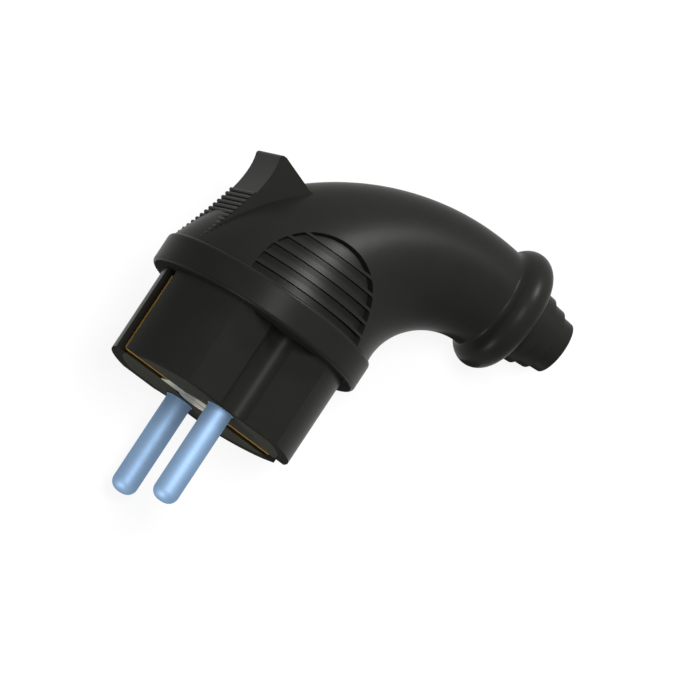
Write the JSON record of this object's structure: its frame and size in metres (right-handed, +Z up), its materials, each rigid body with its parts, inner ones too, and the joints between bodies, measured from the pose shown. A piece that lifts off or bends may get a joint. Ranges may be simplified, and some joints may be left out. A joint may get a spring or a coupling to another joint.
{
  "type": "electrical plug",
  "caption": "Angled rubber mains plug with round pins, side earth contacts, ribbed thumb tab and side grips, and a stepped cable nozzle.",
  "frame": {"origin": "middle of the contact face, halfway between the pins, where the pins leave the face", "axes": "+Z up with the plug lying on its side as it comes to rest; the pins point along -Y and dip a little, the cable leaves towards +X and dips, +Y runs back from the contact face"},
  "size_m": [0.0678, 0.0786, 0.0415],
  "materials": {
    "rubber_shell": "satin moulded rubber",
    "rubber_grommet": "satin moulded rubber",
    "carrier_plastic": "matte moulded thermoset",
    "cover_plastic": "matte moulded plastic",
    "nickel_plate": "brass, bright nickel plated",
    "strap_brass": "rolled spring brass",
    "terminal_brass": "turned and milled brass",
    "zinc_steel": "zinc plated steel"
  },
  "bodies": {
    "root": {"housing": "rubber_shell", "cable_grommet": "rubber_grommet", "contact_carrier": "carrier_plastic", "rear_cover": "cover_plastic", "pin_live": "nickel_plate", "pin_neutral": "nickel_plate", "terminal_screw_live": "zinc_steel", "terminal_screw_neutral": "zinc_steel", "earth_strap": "strap_brass", "tab_washer": "zinc_steel", "centre_screw": "zinc_steel", "lock_washer": "zinc_steel", "earth_terminal": "terminal_brass", "earth_clamp_plate": "zinc_steel", "earth_terminal_screw": "zinc_steel", "cover_screws": "zinc_steel", "clamp_saddle": "cover_plastic", "clamp_screws": "zinc_steel", "clamp_washers": "zinc_steel", "clamp_nuts": "zinc_steel"}
  },
  "joints": []
}
